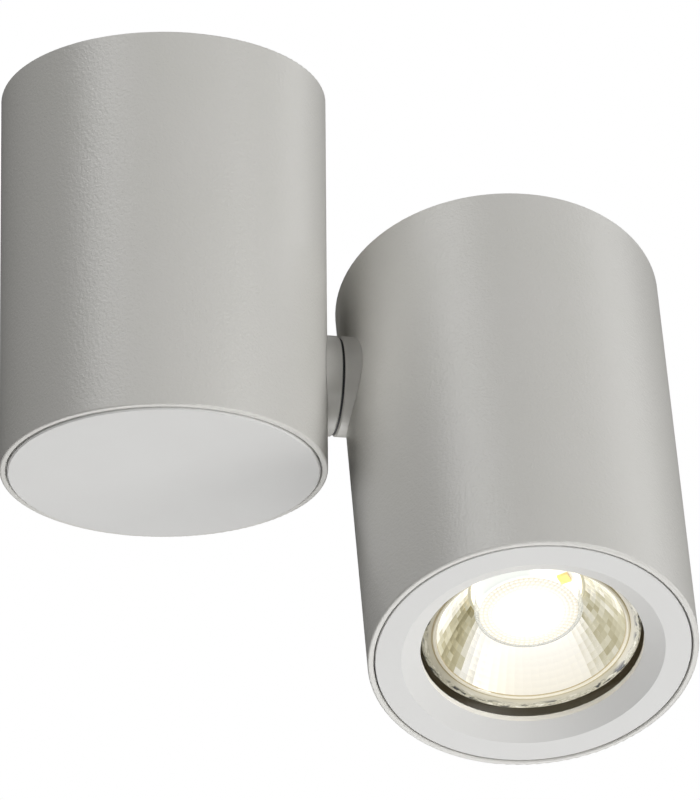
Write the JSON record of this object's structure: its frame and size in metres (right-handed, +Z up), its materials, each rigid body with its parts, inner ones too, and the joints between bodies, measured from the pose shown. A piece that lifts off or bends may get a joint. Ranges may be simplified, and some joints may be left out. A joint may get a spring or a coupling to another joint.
{
  "type": "adjustable spotlight",
  "caption": "Ceiling spotlight of two equal round cans side by side, joined by a short disc swivel; the leaning can holds a reflector lamp behind a flared front ring.",
  "frame": {"origin": "centre of the base can's ceiling face", "axes": "+Z up, out of the ceiling face; +X from the base can to the head along the swivel axis; the head's front leans towards -Y at rest"},
  "size_m": [0.157, 0.1084, 0.1588],
  "materials": {
    "powder_coat": "white powder coat with a fine orange-peel texture on aluminium",
    "smooth_paint": "smooth satin white paint on turned aluminium",
    "zinc_steel": "zinc-plated pressed steel",
    "bright_steel": "nickel-plated steel",
    "spring_steel": "blued spring steel",
    "black_steel": "black oxide on steel",
    "black_rubber": "matt black rubber",
    "friction_fibre": "dark glass-filled nylon",
    "block_plastic": "natural polyamide",
    "brass": "plain brass",
    "lead_insulation": "silicone insulation",
    "cable_sheath": "white silicone sheath",
    "steatite": "unglazed steatite",
    "lamp_glass": "clear pressed glass",
    "lens_acrylic": "clear moulded acrylic",
    "phosphor": "yellow phosphor",
    "board_white": "white solder mask on an aluminium core",
    "cup_aluminium": "cast aluminium",
    "board_green": "green circuit board",
    "lamp_plastic": "white heat-resistant plastic"
  },
  "bodies": {
    "base": {"base_tube": "powder_coat", "base_cap": "smooth_paint", "ceiling_plate": "zinc_steel", "lock_screw": "black_steel", "cable_bush": "black_rubber", "terminal_block": "block_plastic", "terminal_clamps": "brass", "terminal_screws": "bright_steel", "block_screws": "bright_steel", "earth_screw": "bright_steel", "earth_washer": "bright_steel", "lead_wires": "lead_insulation", "base_cable": "cable_sheath", "base_knuckle": "powder_coat", "friction_washer": "friction_fibre", "swivel_tube": "zinc_steel", "base_saddle": "zinc_steel", "base_nut": "zinc_steel", "stop_pin": "black_steel", "disc_spring": "spring_steel", "head_nut": "zinc_steel"},
    "head": {"head_tube": "powder_coat", "head_cap": "smooth_paint", "head_knuckle": "powder_coat", "head_saddle": "zinc_steel", "holder_bracket": "zinc_steel", "holder_screws": "bright_steel", "lampholder": "steatite", "holder_contacts": "brass", "head_cable": "cable_sheath"},
    "front_ring": {"bezel": "smooth_paint", "bezel_seal": "black_rubber"},
    "lamp": {"lamp_glass": "lamp_glass", "lamp_lens": "lens_acrylic", "led_chip": "phosphor", "led_board": "board_white", "heat_cup": "cup_aluminium", "driver_board": "board_green", "lamp_base": "lamp_plastic", "lamp_pins": "bright_steel"}
  },
  "joints": [
    {"name": "head_swivel", "type": "hinge", "parent": "base", "child": "head", "pos_m": [0.0405, 0, -0.07], "axis": [-1, 0, 0], "range_deg": [-109.5, 70.5]},
    {"name": "front_ring_pull", "type": "slide", "parent": "head", "child": "front_ring", "axis": [0, -0.3338, -0.9426], "range_m": [0, 0.012]},
    {"name": "lamp_turn", "type": "hinge", "parent": "head", "child": "lamp", "pos_m": [0.081, 0, -0.07], "axis": [0, -0.3338, -0.9426], "range_deg": [0, 25]}
  ]
}
